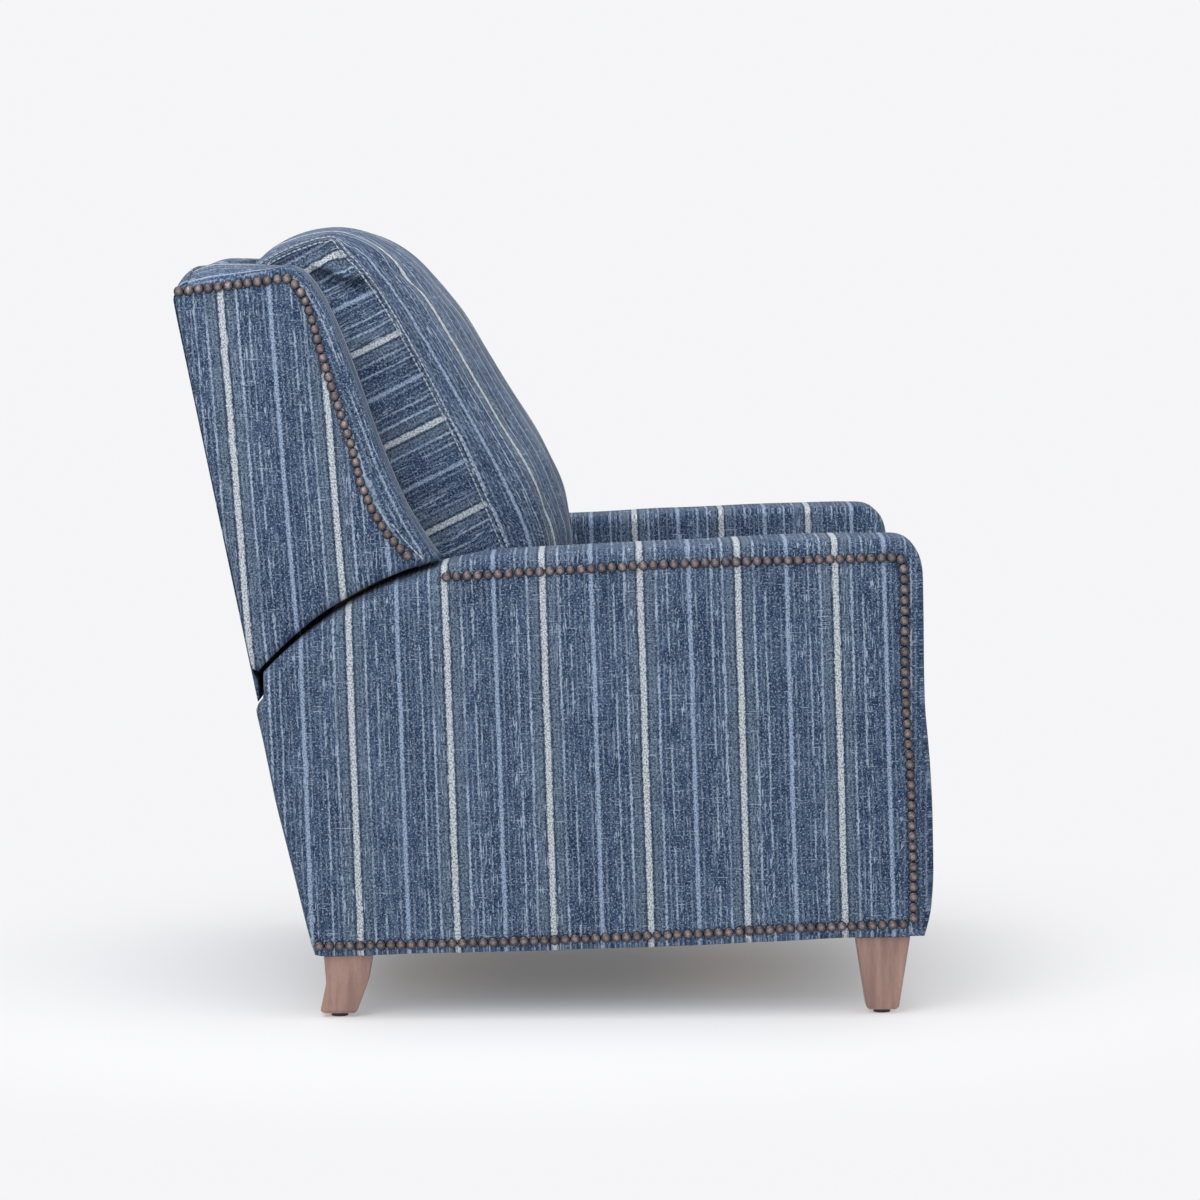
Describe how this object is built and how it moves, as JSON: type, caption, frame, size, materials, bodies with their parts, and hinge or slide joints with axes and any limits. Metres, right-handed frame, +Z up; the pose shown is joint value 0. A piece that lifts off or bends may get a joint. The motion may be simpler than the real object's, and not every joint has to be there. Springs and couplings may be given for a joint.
{
  "type": "push-back recliner armchair",
  "caption": "Upholstered push-back recliner with sloping arms, a winged reclining back, a seat that glides forward and a linkage-driven footrest, on tapered wooden legs.",
  "frame": {"origin": "on the floor, in the middle of the object's bounding box in X and Y, with the chair upright", "axes": "+Z up; the sitter faces -Y; +X is the sitter's left"},
  "size_m": [0.787, 0.9589, 1.0231],
  "materials": {
    "upholstery": "striped slub weave",
    "deck_cloth": "plain woven cloth",
    "leg_wood": "stained, satin",
    "frame_wood": "raw, sanded",
    "glide_plastic": "matte",
    "link_steel": "black, satin",
    "pin_zinc": "zinc plated",
    "spring_steel": "drawn wire"
  },
  "bodies": {
    "base": {"leg_front_l": "leg_wood", "leg_front_r": "leg_wood", "leg_rear_l": "leg_wood", "leg_rear_r": "leg_wood", "leg_glides": "glide_plastic", "arm_frame_l": "frame_wood", "arm_frame_r": "frame_wood", "arm_cover_l": "upholstery", "arm_cover_r": "upholstery", "front_stretcher": "frame_wood", "rear_stretcher": "frame_wood", "rear_panel": "upholstery", "base_rail_l": "link_steel", "base_rail_r": "link_steel", "base_pivots": "pin_zinc"},
    "front_swing": {"front_swing_link_l": "link_steel", "front_swing_link_r": "link_steel", "front_cross_tube": "link_steel"},
    "rear_swing": {"rear_swing_link_l": "link_steel", "rear_swing_link_r": "link_steel", "rear_cross_tube": "link_steel"},
    "seat": {"seat_plate_l": "link_steel", "seat_plate_r": "link_steel", "seat_pivots": "pin_zinc", "seat_side_rail_l": "frame_wood", "seat_side_rail_r": "frame_wood", "seat_front_rail": "frame_wood", "seat_rear_rail": "frame_wood", "zigzag_springs": "spring_steel", "spring_clips": "pin_zinc", "seat_deck": "deck_cloth", "seat_cushion": "upholstery"},
    "back": {"back_bracket_l": "link_steel", "back_bracket_r": "link_steel", "back_side_l": "frame_wood", "back_side_r": "frame_wood", "crest_rail": "frame_wood", "lower_back_rail": "frame_wood", "back_webbing": "deck_cloth", "wing_l": "upholstery", "wing_r": "upholstery", "outside_back": "upholstery", "crest_pad": "upholstery", "back_cushion": "upholstery", "lumbar_pad": "upholstery"},
    "drive_links": {"drive_link_l": "link_steel", "drive_link_r": "link_steel", "drive_cross_tube": "link_steel", "drive_pivots": "pin_zinc"},
    "cross_links": {"cross_link_l": "link_steel", "cross_link_r": "link_steel", "cross_pivots": "pin_zinc"},
    "tail_links": {"tail_links": "link_steel"},
    "top_links": {"top_links": "link_steel"},
    "footrest": {"footrest_bracket_l": "link_steel", "footrest_bracket_r": "link_steel", "footrest_board": "frame_wood", "footrest_pad": "upholstery"}
  },
  "joints": [
    {"name": "seat_glide", "type": "hinge", "parent": "base", "child": "front_swing", "pos_m": [0, -0.11, 0.16], "axis": [1, 0, 0], "range_deg": [0, 35]},
    {"name": "seat_level", "type": "hinge", "parent": "front_swing", "child": "seat", "pos_m": [0, -0.07, 0.22928], "axis": [-1, 0, 0], "range_deg": [0, 35]},
    {"name": "rear_swing_pivot", "type": "hinge", "parent": "base", "child": "rear_swing", "pos_m": [0, 0.1, 0.16], "axis": [1, 0, 0], "range_deg": [0, 35]},
    {"name": "back_recline", "type": "hinge", "parent": "seat", "child": "back", "pos_m": [0, 0.2, 0.245], "axis": [-1, 0, 0], "range_deg": [0, 32]},
    {"name": "footrest_drive", "type": "hinge", "parent": "seat", "child": "drive_links", "pos_m": [0, -0.348, 0.292], "axis": [-1, 0, 0], "range_deg": [0, 96]},
    {"name": "scissor_crossing", "type": "hinge", "parent": "drive_links", "child": "cross_links", "pos_m": [0, -0.33642, 0.19771], "axis": [1, 0, 0], "range_deg": [0, 146]},
    {"name": "tail_pivot", "type": "hinge", "parent": "cross_links", "child": "tail_links", "pos_m": [0, -0.31142, 0.15441], "axis": [-1, 0, 0], "range_deg": [0, 139.6]},
    {"name": "top_link_pivot", "type": "hinge", "parent": "drive_links", "child": "top_links", "pos_m": [0, -0.32606, 0.11334], "axis": [1, 0, 0], "range_deg": [0, 146]},
    {"name": "footrest_tilt", "type": "hinge", "parent": "cross_links", "child": "footrest", "pos_m": [0, -0.41142, 0.32761], "axis": [-1, 0, 0], "range_deg": [0, 146]}
  ],
  "couplings": [
    {"joint": "seat_level", "follows": "seat_glide", "ratio": 1},
    {"joint": "rear_swing_pivot", "follows": "seat_glide", "ratio": 1},
    {"joint": "back_recline", "follows": "seat_glide", "ratio": 0.91429},
    {"joint": "footrest_drive", "follows": "seat_glide", "ratio": 2.7429},
    {"joint": "scissor_crossing", "follows": "seat_glide", "ratio": 4.1714},
    {"joint": "tail_pivot", "follows": "seat_glide", "ratio": 3.9886},
    {"joint": "top_link_pivot", "follows": "seat_glide", "ratio": 4.1714},
    {"joint": "footrest_tilt", "follows": "seat_glide", "ratio": 4.1714}
  ]
}
